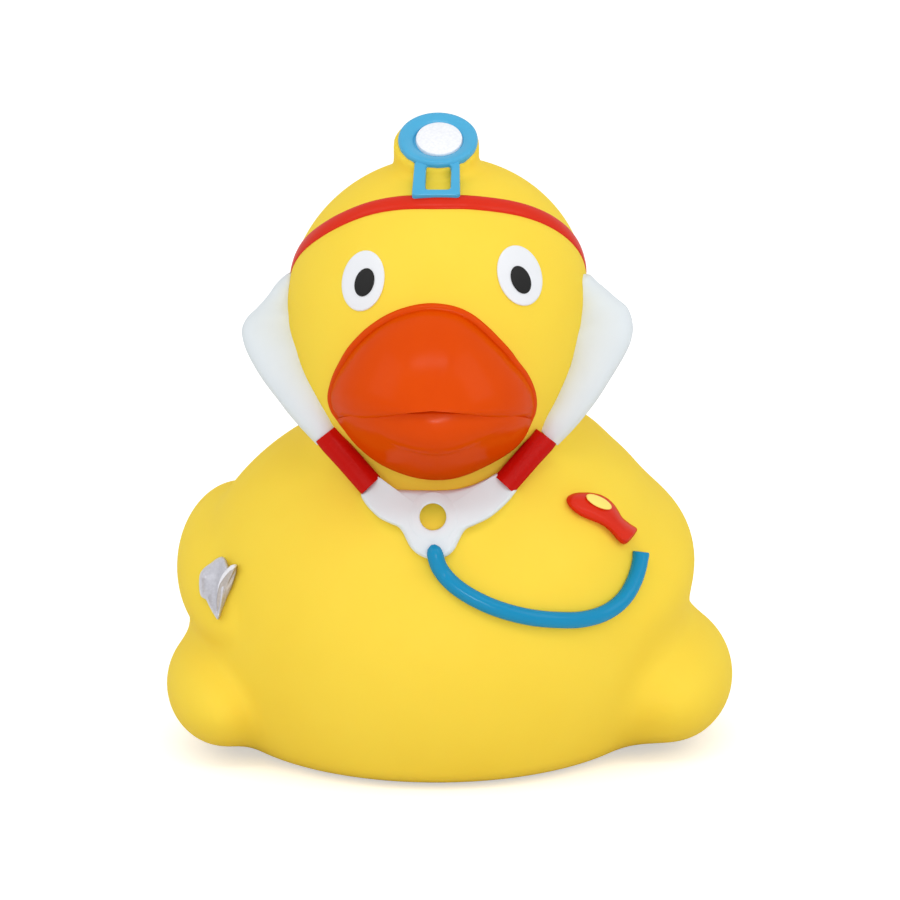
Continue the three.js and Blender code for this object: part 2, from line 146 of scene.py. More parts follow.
def boss_distance(points):
    turn = np.array(mirror_place.to_3x3())
    local = (points - np.array(mirror_place.translation) - turn @ (BOSS_ASIDE, 0, 0)) @ turn
    outside = np.linalg.norm(local[..., :2], axis=-1) - BOSS_RADIUS + BOSS_EDGE
    above = np.abs(local[..., 2] - (BOSS_TOP + BOSS_FOOT) / 2) - (BOSS_TOP - BOSS_FOOT) / 2 + BOSS_EDGE
    corner = np.hypot(np.maximum(outside, 0), np.maximum(above, 0))
    return corner + np.minimum(np.maximum(outside, above), 0) - BOSS_EDGE


def skin_distance(points):
    whole = soft_union(blended(points, BODY_LOBES), blended(points, HEAD_LOBES), NECK_BLEND)
    whole = soft_union(whole, boss_distance(points), BOSS_FLARE)
    return -soft_union(-whole, points[..., 2], BASE_ROUND)


def skin_normal(points):
    step = 0.05
    slopes = [skin_distance(points + step * axis) - skin_distance(points - step * axis) for axis in np.eye(3)]
    slope = np.stack(slopes, -1)
    return slope / (np.linalg.norm(slope, axis=-1, keepdims=True) + 1e-12)


def cast(origins, directions, lift=0.0):
    """Points along rays where the skin, or the level that lies a lift above it, is met first."""
    origins, directions = np.broadcast_arrays(np.asarray(origins, float), np.asarray(directions, float))
    sign = np.sign(skin_distance(origins) - lift)
    reach = np.zeros(len(origins))
    for _ in range(140):
        reach = reach + 0.6 * sign * (skin_distance(origins + directions * reach[:, None]) - lift)
    return origins + directions * reach[:, None]


def on_front(places, lift=0.0):
    """Points that the camera sees at x and at a height across its view, on a level above the skin."""
    places = np.asarray(places, float)
    across_view = np.array([0.0, math.sin(camera_lift), math.cos(camera_lift)])
    start = np.outer(places[:, 0], (1, 0, 0)) + np.outer(places[:, 1], across_view) + 60 * camera_back
    return cast(start, -camera_back[None], lift)


print("top of the head, mm:", round(float(cast([HEAD], [[0, 0, 1.0]])[0, 2]), 2))

# %% [markdown]
# ## Helpers that make and finish a mesh
#
# Most forms here are lofts: a ring of edges that is extruded from station to station. The first ring comes
# from create_circle, each next one from extrude_edge_only, and the ends are filled or bridged into a loop. A
# piece is finished by merging doubles, turning its faces outwards and moving it into the frame of the solid.


# %% Loft and finish
def move_ring(ring, points):
    for vert, point in zip(ring, points):
        vert.co = point


def next_ring(bm, ring, edges):
    made = bmesh.ops.extrude_edge_only(bm, edges=edges)["geom"]
    fresh = {g for g in made if isinstance(g, bmesh.types.BMVert)}
    loop = [g for g in made if isinstance(g, bmesh.types.BMEdge) and g.is_boundary]
    follow = []
    for vert in ring:
        follow.append(next(e.other_vert(vert) for e in vert.link_edges if e.other_vert(vert) in fresh))
    return follow, loop


def loft(rings, closed=False):
    bm = bmesh.new()
    ring = bmesh.ops.create_circle(bm, segments=len(rings[0]), radius=1)["verts"]
    first = edges = list(bm.edges)
    move_ring(ring, rings[0])
    for points in rings[1:]:
        ring, edges = next_ring(bm, ring, edges)
        move_ring(ring, points)
    if closed:
        bmesh.ops.bridge_loops(bm, edges=first + edges)
    else:
        bmesh.ops.edgeloop_fill(bm, edges=first)
        bmesh.ops.edgeloop_fill(bm, edges=edges)
    return bm


def finish_piece(bm, name, material, sharp=40):
    bmesh.ops.remove_doubles(bm, verts=bm.verts, dist=1e-4)
    bmesh.ops.recalc_face_normals(bm, faces=bm.faces)
    bmesh.ops.translate(bm, verts=bm.verts, vec=-MOULD_ORIGIN)
    bmesh.ops.scale(bm, verts=bm.verts, vec=(MM, MM, MM))
    mesh = bpy.data.meshes.new(name)
    bm.to_mesh(mesh)
    bm.free()
    mesh.shade_smooth()
    mesh.set_sharp_from_angle(angle=math.radians(sharp))
    piece = bpy.data.objects.new(name, mesh)
    scene.collection.objects.link(piece)
    mesh.materials.append(material)
    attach(piece, "root")
    print(name, "faces:", len(mesh.polygons))
    return piece


def smooth_path(points, count, closed=False):
    """A Catmull-Rom curve through the points, at evenly spread parameters."""
    points = np.asarray(points, float)
    if closed:
        knots = np.vstack([points[-1:], points, points[:2]])
        spans = len(points)
    else:
        knots = np.vstack([2 * points[0] - points[1], points, 2 * points[-1] - points[-2]])
        spans = len(points) - 1
    t = np.linspace(0, spans, count, endpoint=not closed)
    i = np.minimum(t.astype(int), spans - 1)
    f = (t - i)[:, None]
    a, b, c, d = knots[i], knots[i + 1], knots[i + 2], knots[i + 3]
    return 0.5 * (2 * b + (c - a) * f + (2 * a - 5 * b + 4 * c - d) * f**2 + (3 * b - a - 3 * c + d) * f**3)


def sweep_rings(path, across, deep, depth_axis, sides=32, closed=False, flat=False):
    """Oval rings along a path: across is in the skin's plane and deep along the depth axis. Flat rings show
    edge-on to the camera, so that a cut end is a straight line in its view."""
    path = np.asarray(path, float)
    if closed:
        along = np.roll(path, -1, axis=0) - np.roll(path, 1, axis=0)
    else:
        along = np.gradient(path, axis=0)
    if flat:
        along = along - np.outer(along @ camera_back, camera_back)
    along = along / np.linalg.norm(along, axis=1, keepdims=True)
    depth = depth_axis - np.sum(depth_axis * along, axis=1, keepdims=True) * along
    depth = depth / np.linalg.norm(depth, axis=1, keepdims=True)
    side = np.cross(depth, along)
    angles = np.linspace(0, 2 * math.pi, sides, endpoint=False)
    across = np.broadcast_to(across, len(path))
    deep = np.broadcast_to(deep, len(path))
    rings = []
    for p, s, d, a, b in zip(path, side, depth, across, deep):
        rings.append(p + np.outer(a * np.cos(angles), s) + np.outer(b * np.sin(angles), d))
    return rings


# %% [markdown]
# ## Finishes
#
# The skin is plasticised PVC, slush-moulded against a polished but worn mould: satin, a little translucent,
# with a very fine unevenness. The forms carry sprayed vinyl paint, which lies a little glossier than the skin
# and shows a faint orange peel. The instrument has a silver paint with flakes in it. On skin and paint the
# gloss is a thin clear coat over a matt body, so that colours stay full where the surface turns away.


# %% Colours and nodes
def linear(hex_colour):
    """An sRGB hex value as linear red, green and blue."""
    channels = [int(hex_colour[i : i + 2], 16) / 255 for i in (1, 3, 5)]
    return [c / 12.92 if c <= 0.04045 else ((c + 0.055) / 1.055) ** 2.4 for c in channels] + [1.0]


def add_node(tree, kind, links=None, values=None, **settings):
    """A node with its settings, its input values, and links given as input: (node, output)."""
    node = tree.nodes.new(kind)
    for key, value in settings.items():
        setattr(node, key, value)
    for key, value in (values or {}).items():
        node.inputs[key].default_value = value
    for key, (source, output) in (links or {}).items():
        tree.links.new(source.outputs[output], node.inputs[key])
    return node


def new_material(name):
    material = bpy.data.materials.new(name)
    material.use_nodes = True
    material.node_tree.nodes.clear()
    return material, material.node_tree


# A pattern with features of some millimetres has this noise scale on coordinates in metres.
def per_mm(size):
    return 1 / (size * MM)


# %% Vinyl skin
# Slush-moulded PVC. Soft depth from the light that enters it, a satin sheen, and colour that drifts by a
# shade where the skin is thicker. The drift is about 14 mm wide and the mould's unevenness about 0.6 mm.
def slush_moulded_vinyl(name, colour, deeper):
    material, tree = new_material(name)
    place = add_node(tree, "ShaderNodeTexCoord")
    drift = add_node(
        tree,
        "ShaderNodeTexNoise",
        {"Vector": (place, "Object")},
        {"Scale": per_mm(14), "Detail": 2.0, "Roughness": 0.5},
    )
    tint = add_node(tree, "ShaderNodeMix", {0: (drift, "Fac")}, data_type="RGBA")
    tint.inputs[6].default_value = linear(colour)
    tint.inputs[7].default_value = linear(deeper)
    grain = add_node(
        tree,
        "ShaderNodeTexNoise",
        {"Vector": (place, "Object")},
        {"Scale": per_mm(0.6), "Detail": 3.0, "Roughness": 0.6},
    )
    sheen = add_node(
        tree,
        "ShaderNodeMapRange",
        {"Value": (grain, "Fac")},
        {"From Min": 0.3, "From Max": 0.7, "To Min": 0.4, "To Max": 0.5},
    )
    bump = add_node(
        tree, "ShaderNodeBump", {"Height": (grain, "Fac")}, {"Strength": 0.08, "Distance": 0.05 * MM}
    )
    shader = add_node(
        tree,
        "ShaderNodeBsdfPrincipled",
        {"Base Color": (tint, 2), "Roughness": (sheen, "Result"), "Normal": (bump, "Normal")},
        {
            "Specular IOR Level": 0.0,
            "Coat Weight": 0.15,
            "Subsurface Weight": 0.12,
            "Subsurface Scale": 3 * MM,
        },
    )
    tree.links.new(sheen.outputs["Result"], shader.inputs["Coat Roughness"])
    shader.inputs["Subsurface Radius"].default_value = (1.0, 0.6, 0.15)
    add_node(tree, "ShaderNodeOutputMaterial", {"Surface": (shader, "BSDF")})
    return material


vinyl = slush_moulded_vinyl("pvc_vinyl_yellow", "#f6d74a", "#f1ce40")


# %% Sprayed paints
# Vinyl enamel from a spray gun. It lies in a thin coat with an orange peel of about 0.8 mm, and its colour
# varies a little where the coat is thinner, over about 5 mm.
def sprayed_enamel(name, colour, thin, roughness, shine):
    material, tree = new_material(name)
    place = add_node(tree, "ShaderNodeTexCoord")
    cover = add_node(
        tree,
        "ShaderNodeTexNoise",
        {"Vector": (place, "Object")},
        {"Scale": per_mm(5), "Detail": 3.0, "Roughness": 0.55},
    )
    tint = add_node(tree, "ShaderNodeMix", {0: (cover, "Fac")}, data_type="RGBA")
    tint.inputs[6].default_value = linear(colour)
    tint.inputs[7].default_value = linear(thin)
    peel = add_node(
        tree,
        "ShaderNodeTexNoise",
        {"Vector": (place, "Object")},
        {"Scale": per_mm(0.8), "Detail": 2.0, "Roughness": 0.5},
    )
    gloss = add_node(
        tree,
        "ShaderNodeMapRange",
        {"Value": (peel, "Fac")},
        {"From Min": 0.3, "From Max": 0.7, "To Min": roughness - 0.05, "To Max": roughness + 0.06},
    )
    bump = add_node(
        tree, "ShaderNodeBump", {"Height": (peel, "Fac")}, {"Strength": 0.03, "Distance": 0.05 * MM}
    )
    shader = add_node(
        tree,
        "ShaderNodeBsdfPrincipled",
        {"Base Color": (tint, 2), "Coat Roughness": (gloss, "Result"), "Coat Normal": (bump, "Normal")},
        {"Specular IOR Level": 0.0, "Coat Weight": shine},
    )
    add_node(tree, "ShaderNodeOutputMaterial", {"Surface": (shader, "BSDF")})
    return material


bill_orange = sprayed_enamel("enamel_orange", "#d94900", "#d34300", 0.2, 0.15)
band_red = sprayed_enamel("enamel_red", "#d82c12", "#d0260e", 0.2, 0.3)
sleeve_red = sprayed_enamel("enamel_dark_red", "#c0120a", "#b61009", 0.24, 0.15)
tube_white = sprayed_enamel("enamel_white", "#dbe2e6", "#d5dce0", 0.4, 0.4)
hose_blue = sprayed_enamel("enamel_blue", "#0a8cba", "#0484b2", 0.18, 0.4)
mirror_blue = sprayed_enamel("enamel_light_blue", "#4aaad4", "#42a2ce", 0.18, 0.6)
# The spot is the skin's yellow, painted lighter than the skin as a painted highlight.
spot_yellow_and_highlight = sprayed_enamel("enamel_yellow_and_highlight", "#fae67a", "#f6de6a", 0.2, 0.4)
eye_white = sprayed_enamel("print_white", "#e6e8ec", "#e2e4e8", 0.42, 0.3)
eye_black = sprayed_enamel("print_black", "#121212", "#181818", 0.38, 0.4)


# %% Silver paint
# Aluminium flakes in a clear lacquer: half metallic, with flakes drawn at 0.35 mm so that they show.
def flaked_silver(name, bright, dull, metallic, roughness):
    material, tree = new_material(name)
    place = add_node(tree, "ShaderNodeTexCoord")
    flakes = add_node(tree, "ShaderNodeTexVoronoi", {"Vector": (place, "Object")}, {"Scale": per_mm(0.35)})
    tint = add_node(tree, "ShaderNodeMix", {0: (flakes, "Distance")}, data_type="RGBA")
    tint.inputs[6].default_value = linear(bright)
    tint.inputs[7].default_value = linear(dull)
    bump = add_node(
        tree, "ShaderNodeBump", {"Height": (flakes, "Distance")}, {"Strength": 0.2, "Distance": 0.05 * MM}
    )
    shader = add_node(
        tree,
        "ShaderNodeBsdfPrincipled",
        {"Base Color": (tint, 2), "Normal": (bump, "Normal")},
        {"Metallic": metallic, "Roughness": roughness},
    )
    add_node(tree, "ShaderNodeOutputMaterial", {"Surface": (shader, "BSDF")})
    return material


# One silver lacquer in three tones: the base, a darker and browner copy that is painted shade for the facet,
# and a lighter copy that is a painted highlight for the ridge.
instrument_silver = flaked_silver("silver_lacquer", "#c6c6ce", "#b6b6be", 0.25, 0.36)
instrument_painted_shade = flaked_silver("silver_lacquer_painted_shade", "#b8b0aa", "#a69e98", 0.25, 0.42)
instrument_painted_highlight = flaked_silver("silver_lacquer_painted_highlight", "#e8e8ee", "#dcdce2", 0.2, 0.32)
mirror_silver = flaked_silver("mirror_lacquer", "#f4f5f8", "#e6e8ee", 0.1, 0.28)

# %% [markdown]
# ## The yellow skin
#
# We lay one UV sphere for each lobe and a post for the boss, let the voxel remesher melt them into one even
# net, and then pull every point of that net onto the blended sculpt. Starting from spheres keeps the net even
# everywhere, also in the crease of the neck and on the tail, where a single sphere would stretch.

# %% Skin net
NET_MM = 0.72
clay = bmesh.new()
for lobe in BODY_LOBES + HEAD_LOBES:
    ball = bmesh.ops.create_uvsphere(clay, u_segments=48, v_segments=24, radius=1)["verts"]
    bmesh.ops.scale(clay, vec=[size / 2 for size in lobe[:3]], verts=ball)
    bmesh.ops.rotate(clay, cent=(0, 0, 0), matrix=lobe_turn(lobe), verts=ball)
    bmesh.ops.translate(clay, vec=lobe[3:6], verts=ball)
post = bmesh.ops.create_cone(
    clay, cap_ends=True, segments=48, radius1=BOSS_RADIUS, radius2=BOSS_RADIUS, depth=BOSS_TOP - BOSS_FOOT
)["verts"]
bmesh.ops.translate(clay, vec=(BOSS_ASIDE, 0, (BOSS_TOP + BOSS_FOOT) / 2), verts=post)
bmesh.ops.transform(clay, matrix=mirror_place, verts=post)
clay_mesh = bpy.data.meshes.new("clay")
clay.to_mesh(clay_mesh)
clay.free()
clay_object = bpy.data.objects.new("clay", clay_mesh)
scene.collection.objects.link(clay_object)
melt = clay_object.modifiers.new("melt", "REMESH")
melt.mode = "VOXEL"
melt.voxel_size = NET_MM
net_mesh = bpy.data.meshes.new_from_object(clay_object.evaluated_get(bpy.context.evaluated_depsgraph_get()))
bpy.data.objects.remove(clay_object)
print("net points:", len(net_mesh.vertices))

# %% Pull the net onto the sculpt
skin = bmesh.new()
skin.from_mesh(net_mesh)
bpy.data.meshes.remove(net_mesh)


def pull_to_skin(bm, rounds):
    points = np.array([v.co for v in bm.verts])
    for _ in range(rounds):
        points = points - skin_normal(points) * np.clip(skin_distance(points), -2, 2)[:, None] * 0.9
    for vert, point in zip(bm.verts, points):
        vert.co = point
    return float(np.abs(skin_distance(points)).max())


pull_to_skin(skin, 5)
for _ in range(3):
    bmesh.ops.smooth_vert(
        skin, verts=skin.verts, factor=0.5, use_axis_x=True, use_axis_y=True, use_axis_z=True
    )
print("farthest from the sculpt, mm:", round(pull_to_skin(skin, 4), 4))

# %% Vent in the base
# A slush-moulded toy has a small hole below, from which it was drawn off the mould. It is cut as a blind one.
VENT_RADIUS, VENT_DEPTH, VENT_PLACE = 1.6, 2.5, (0, 3, 0)


def scratch_object(name, bm):
    mesh = bpy.data.meshes.new(name)
    bm.to_mesh(mesh)
    bm.free()
    made = bpy.data.objects.new(name, mesh)
    scene.collection.objects.link(made)
    return made


drill = bmesh.new()
bmesh.ops.create_cone(
    drill, cap_ends=True, segments=48, radius1=VENT_RADIUS, radius2=VENT_RADIUS, depth=2 * VENT_DEPTH
)
bmesh.ops.translate(drill, vec=VENT_PLACE, verts=drill.verts)
drill_object = scratch_object("drill", drill)
whole_object = scratch_object("whole", skin)
cut = whole_object.modifiers.new("vent", "BOOLEAN")
cut.operation = "DIFFERENCE"
cut.solver = "EXACT"
cut.object = drill_object
cut_mesh = bpy.data.meshes.new_from_object(whole_object.evaluated_get(bpy.context.evaluated_depsgraph_get()))
bpy.data.objects.remove(whole_object)
bpy.data.objects.remove(drill_object)
skin = bmesh.new()
skin.from_mesh(cut_mesh)
bpy.data.meshes.remove(cut_mesh)
body = finish_piece(skin, "skin", vinyl, sharp=60)
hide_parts("duck")

# %% [markdown]
# ## Bill
#
# Each half of the bill is a loft along its own axis, which points forward and thirteen degrees up. The
# outline is full where the face ends and rounds off to the tip. Averaging along each ring softens the edge at
# the mouth, so that the two halves meet in an arched crease. A fine bead runs round the bill where it leaves
# the face.

# %% Edge of the bill
UPPER_EDGE = [
    (11.97, 41.12), (12.26, 42.17), (12.23, 43.7), (11.83, 45.07), (11.08, 46.49), (9.96, 47.89),
    (8.86, 49.34), (7.53, 50.73), (6.08, 52.14), (4.31, 53.54), (2.25, 54.46), (-0.49, 54.85),
    (-3.14, 54.51), (-5.77, 53.58), (-8.06, 52.17), (-9.65, 50.77), (-10.89, 49.36), (-11.76, 47.93),
    (-12.52, 46.51), (-13.04, 45.09), (-13.31, 43.63), (-12.98, 42.18), (-12.33, 41.12),
]
LOWER_EDGE = [
    (-12.33, 41.12), (-11.53, 39.92), (-9.97, 38.07), (-7.26, 35.96), (-3.81, 34.51), (-0.52, 33.94),
    (2.74, 34.23), (6.2, 35.57), (9.29, 37.3), (11.03, 39.03), (11.97, 41.12),
]
mouth_corners = on_front([UPPER_EDGE[0], UPPER_EDGE[-1]])
BILL_ROOT = np.array([0, *mouth_corners[:, 1:].mean(axis=0)])
BILL_PITCH = math.radians(13)
print("bill leaves the face at, mm:", np.round(BILL_ROOT, 2))


def in_bill(x, forward, up):
    y = BILL_ROOT[1] - forward * math.cos(BILL_PITCH) + up * math.sin(BILL_PITCH)
    z = BILL_ROOT[2] + forward * math.sin(BILL_PITCH) + up * math.cos(BILL_PITCH)
    return np.column_stack(np.broadcast_arrays(x, y, z))


def across_bill(points):
    back, rise = (points[:, 1:] - BILL_ROOT[1:]).T
    up = back * math.sin(BILL_PITCH) + rise * math.cos(BILL_PITCH)
    return np.column_stack([points[:, 0], up])


# %% Bill halves
# Distances forward from the face: where the sides start to round off, where the upper half does, where the
# lower lip is, and the length of each half.
CHEEK = 3
FOREHEAD_END = 9
LOWER_LIP = 11.5
UPPER_LENGTH = 16.3
LOWER_LENGTH = 15.4
LIP_DROP = -0.3
UNDER_CLIMB = 0.34
MOUTH_ARCH = 1.1
BILL_MIDDLE = np.array([-0.4, 1.5])


def rounding(forward, start, end, power):
    """One up to the start, then down to nothing at the end along a superellipse."""
    return (1 - max(0, (forward - start) / (end - start)) ** power) ** (1 / power)


def upper_height(forward, up):
    """The upper half keeps its height at the forehead, then rounds off to the mouth."""
    return up * rounding(forward, FOREHEAD_END, UPPER_LENGTH, 1.8)


def lower_height(forward, up):
    """The underside climbs to the lip, and the lip rolls over to a point below the mouth."""
    under = 1 - UNDER_CLIMB * min(1, max(0, forward - CHEEK) / (LOWER_LIP - CHEEK)) ** 1.2
    roll = rounding(forward, LOWER_LIP, LOWER_LENGTH, 2.2)
    return LIP_DROP + (up * under - LIP_DROP) * roll


def bill_half(edge, scale, length, height, lip):
    """One half: the edge is its outline on the face, and the lip the height of its rim at the mouth."""
    arc = across_bill(on_front(smooth_path(edge, 80)))
    arc = BILL_MIDDLE + (arc - BILL_MIDDLE) * scale
    mouth_x = np.linspace(arc[-1, 0], arc[0, 0], 30)[1:-1]
    arch = MOUTH_ARCH * (0.5 - (mouth_x / mouth_x.max()) ** 2)
    outline = np.vstack([arc, np.column_stack([mouth_x, lip + arch])])
    rings = []
    steps = np.sin(np.linspace(0, 1, 40) * math.pi / 2) * 0.9995
    for forward in [-6, -2, *(CHEEK + (length - CHEEK) * steps)]:
        x = BILL_MIDDLE[0] + (outline[:, 0] - BILL_MIDDLE[0]) * rounding(forward, CHEEK, length, 2.1)
        ring = np.column_stack([x, height(forward, outline[:, 1])])
        for _ in range(2):
            ring = (np.roll(ring, 1, axis=0) + 2 * ring + np.roll(ring, -1, axis=0)) / 4
        rings.append(in_bill(ring[:, 0], forward, ring[:, 1]))
    return loft(rings)


bill_upper = bill_half(UPPER_EDGE, (0.965, 0.965), UPPER_LENGTH, upper_height, -0.35)
finish_piece(bill_upper, "bill_upper", bill_orange)
bill_lower = bill_half(LOWER_EDGE, (0.98, 1.02), LOWER_LENGTH, lower_height, 0.4)
finish_piece(bill_lower, "bill_lower", bill_orange)

# %% Bead round the bill
# It is full above the bill and thins out below the corners of the mouth.
bead_outline = smooth_path(UPPER_EDGE[:-1] + LOWER_EDGE[:-1], 160, closed=True)
bead_middle = bead_outline.mean(axis=0)
bead_outline = bead_middle + (bead_outline - bead_middle) * 0.952
bead_path = on_front(bead_outline)
bead_normal = skin_normal(bead_path)
bead_girth = np.interp(bead_outline[:, 1], [38, 43], [0.3, 0.6])
bead_rings = sweep_rings(bead_path, bead_girth, 0.9 * bead_girth, bead_normal, 24, closed=True)
finish_piece(loft(bead_rings, closed=True), "bill_bead", bill_orange)

# %% [markdown]
# ## Buttons on the skin
#
# Eyes, connector, chest piece and instrument are flat reliefs that follow the skin. Each is drawn as an
# outline in the camera's view. Rings of that outline, drawn in towards its middle, are laid on levels above
# the skin, which gives the soft shoulder that a mould and a coat of paint leave.


# %% Button
def oval(x, z, width, height, tilt, count=64):
    angle = np.linspace(0, 2 * math.pi, count, endpoint=False)
    flat = np.column_stack([width / 2 * np.cos(angle), height / 2 * np.sin(angle)])
    c, s = math.cos(math.radians(tilt)), math.sin(math.radians(tilt))
    return flat @ np.array([[c, s], [-s, c]]) + [x, z]


def shoulder(relief, radius, crown=0.0, floor=-0.6):
    """Inset in mm, share of the way to the middle, and lift: a round shoulder and a crowned top."""
    turn = np.linspace(0, math.pi / 2, 7)
    climb = [(radius * (1 - math.cos(a)), 0, relief - radius + radius * math.sin(a)) for a in turn]
    top = [(radius, s, relief + crown * (1 - (1 - s) ** 2)) for s in (0.15, 0.3, 0.45, 0.6, 0.75, 0.9, 1)]
    return [(0, 0, floor), *climb, *top]


def dome(relief, floor=-0.6):
    """A profile that rises upright at the outline and rounds over to the middle."""
    turn = np.linspace(0, math.pi / 2, 14)
    return [(0, 0, floor), *((0, 1 - math.cos(a), relief * math.sin(a)) for a in turn)]


def button_rings(outline, profile, inner=None, slope=None):
    """Rings from an outline to its middle or to an inner outline. A slope scales the lift along it."""
    outline = np.asarray(outline, float)
    middle = outline.mean(axis=0)
    inner = middle + (outline - middle) * 0.03 if inner is None else inner
    slope = np.ones(len(outline)) if slope is None else slope
    gap = np.linalg.norm(inner - outline, axis=1)
    rings = []
    for inset, share, lift in profile:
        edge = np.clip(inset / gap, 0, 1)
        way = edge + share * (1 - edge)
        height = lift * (slope * (1 - way) + slope.mean() * way) if lift > 0 else lift
        rings.append(on_front(outline + (inner - outline) * way[:, None], height))
    return rings


# %% Eyes
# For each eye: centre, width, height and tilt of the white, then of the pupil.
EYES = {
    "right": ((-8.81, 57.78, 5.17, 7.41, -8.8), (-8.64, 57.56, 2.34, 3.5, -16)),
    "left": ((10.06, 58.44, 5.37, 7.45, 15.5), (10.19, 57.9, 2.31, 3.51, 22.1)),
}
for side, (white, pupil) in EYES.items():
    white_rings = button_rings(oval(*white), shoulder(0.25, 0.2))
    finish_piece(loft(white_rings), "eye_" + side, eye_white)
    pupil_rings = button_rings(oval(*pupil), shoulder(0.38, 0.1))
    finish_piece(loft(pupil_rings), "pupil_" + side, eye_black)

# %% [markdown]
# ## Headband and head mirror
#
# The band leans back over the skull. It is drawn as stations round the head, each a turn and a height angle,
# and rays from the middle of the head find the skin there. An oval section is swept round that loop. The
# mirror is turned work: its frame and its disc are profiles spun about one axis, on the boss that is part of
# the skin. An open stem joins it to the band.

# %% Headband
# Stations round the head, seen from its middle: the turn from straight ahead and the height angle.
BAND = [
    (0, 45.3), (18, 44.6), (31, 42.7), (44, 39.8), (53, 36.8), (62, 32.8), (72, 27.2), (80, 21.8),
    (91, 13.8), (105, 4), (120, -5.5), (140, -15.7), (160, -21.8), (180, -23.9), (200, -21.8), (220, -15.7),
    (240, -5.5), (255, 4), (272, 14), (282, 20.9), (294, 28), (304, 33.6), (312.4, 37.7), (321, 41.1),
    (330, 43.5), (340, 45),
]
BAND_STEPS = 180
band_turn, band_rise = np.radians(BAND).T
band_ways = np.column_stack([np.sin(band_turn), -np.cos(band_turn), np.tan(band_rise)])
band_ways = band_ways / np.linalg.norm(band_ways, axis=1, keepdims=True)
band_rays = smooth_path(band_ways, BAND_STEPS, closed=True)
band_rays = band_rays / np.linalg.norm(band_rays, axis=1, keepdims=True)
band_path = cast(np.repeat(HEAD[None], BAND_STEPS, axis=0), band_rays)
band_deep = np.interp(-band_rays[:, 1], [0, 0.4], [0.22, 0.45])
band_rings = sweep_rings(band_path, 1.15, band_deep, skin_normal(band_path), 28, closed=True)
finish_piece(loft(band_rings, closed=True), "headband", band_red)

# %% Head mirror


def spun(profile, tall, steps=96):
    """A profile of radius and height, spun about the mirror's axis and made a little taller than wide."""
    bm = bmesh.new()
    verts = [bm.verts.new((radius, 0, height)) for radius, height in profile]
    edges = [bm.edges.new(pair) for pair in zip(verts, verts[1:])]
    bmesh.ops.spin(
        bm, geom=verts + edges, cent=(0, 0, 0), axis=(0, 0, 1), angle=2 * math.pi, steps=steps, use_merge=True
    )
    bmesh.ops.remove_doubles(bm, verts=bm.verts, dist=1e-4)
    bmesh.ops.scale(bm, vec=(1, tall, 1), verts=bm.verts)
    bmesh.ops.transform(bm, matrix=mirror_place, verts=bm.verts)
    return bm


FRAME_PROFILE = [
    (0, -1.1), (4.72, -1.1), (4.85, -0.62), (4.9, -0.3), (4.84, -0.02), (4.66, 0.16), (4.4, 0.2), (4.0, 0.12),
    (3.5, -0.05), (3.2, -0.18), (3.06, -0.32), (3.0, -0.5), (0, -0.5),
]
DISC_PROFILE = [(0, -0.9), (2.88, -0.9), (2.88, -0.3), (2.8, -0.12), (2.4, 0.0), (1.2, 0.14), (0, 0.18)]
finish_piece(spun(FRAME_PROFILE, 1.03), "mirror_frame", mirror_blue)
disc = spun(DISC_PROFILE, 1.1)
bmesh.ops.translate(disc, verts=disc.verts, vec=(0.14, 0.05, 0.07))
finish_piece(disc, "mirror_disc", mirror_silver)

# %% Stem of the mirror
stem_foot = Vector(on_front([(-0.05, 68.2)], 0.9)[0])
stem_top = mirror_place @ Vector((-0.1, -4.6, -0.2))
stem_up = (stem_top - stem_foot).normalized()
stem_out = Vector((1, 0, 0)).cross(stem_up)
stem_length = (stem_top - stem_foot).length
stem_place = Matrix((Vector((1, 0, 0)), stem_up, stem_out)).transposed().to_4x4()
stem_place.translation = stem_foot


def rounded_frame(width, low, high, radius, taper=0.0, aside=0.0, per_corner=8):
    points = []
    for corner, (sx, sy) in enumerate(((1, 1), (-1, 1), (-1, -1), (1, -1))):
        for angle in np.linspace(0, math.pi / 2, per_corner) + corner * math.pi / 2:
            y = (high - radius if sy > 0 else low + radius) + radius * math.sin(angle)
            x = sx * (width / 2 - radius) + radius * math.cos(angle)
            points.append((aside + x * (1 - taper * y / stem_length), y))
    return np.array(points)


stem_rings = []
for shrink, height in ((0, -1.6), (0, -0.2), (0.06, -0.06), (0.22, 0)):
    ring = rounded_frame(5.85 - 2 * shrink, shrink, stem_length + 0.5, 0.5, 0.06)
    stem_rings.append(np.column_stack([ring, np.full(len(ring), height)]))
for grow, height in ((0.22, 0), (0.06, -0.06), (0, -0.2), (0, -1.6)):
    ring = rounded_frame(3.05 + 2 * grow, 0.95 - grow, stem_length - 0.25 + grow, 0.4 + grow, aside=0.2)
    stem_rings.append(np.column_stack([ring, np.full(len(ring), height)]))
stem = loft(stem_rings, closed=True)
bmesh.ops.transform(stem, matrix=stem_place, verts=stem.verts)
finish_piece(stem, "mirror_stem", mirror_blue)

# %% [markdown]
# ## Stethoscope
#
# The ear tubes come out of the sides of the head in a flat flare, turn down past the cheeks and run into dark
# red sleeves. The sleeves meet in a connector with a hole, and a blue hose hangs from it across the breast.
# All of it is part of the moulding, so nothing here is a loose cord.

